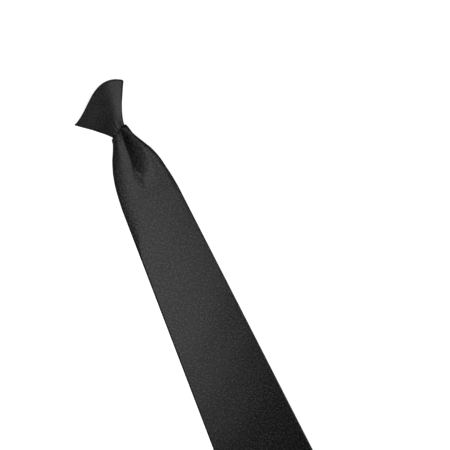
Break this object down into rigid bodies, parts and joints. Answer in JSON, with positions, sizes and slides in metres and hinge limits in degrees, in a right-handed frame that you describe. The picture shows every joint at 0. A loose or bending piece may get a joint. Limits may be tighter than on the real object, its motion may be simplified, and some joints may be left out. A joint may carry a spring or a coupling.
{
  "type": "clip on tie",
  "caption": "Pointed necktie with a ready-made four-in-hand knot, a dimpled and folded cloth blade and a bent steel clip behind the knot that hooks over a shirt collar.",
  "frame": {"origin": "on the surface that the tie lies on, under the middle of the outline", "axes": "+Y runs up the tie from the point to the knot, +X to the right of its face, +Z out of its face"},
  "size_m": [0.088, 0.5083, 0.026],
  "materials": {
    "tie_cloth": "matt charcoal polyester in a fine twill with a faint speckle",
    "lining_cloth": "smooth black satin lining with a low sheen",
    "clip_steel": "nickel-plated spring steel, smooth, with a soft shine"
  },
  "bodies": {
    "root": {"knot_wrap": "tie_cloth", "blade": "tie_cloth", "point_lining": "lining_cloth", "collar_clip": "clip_steel"}
  },
  "joints": []
}
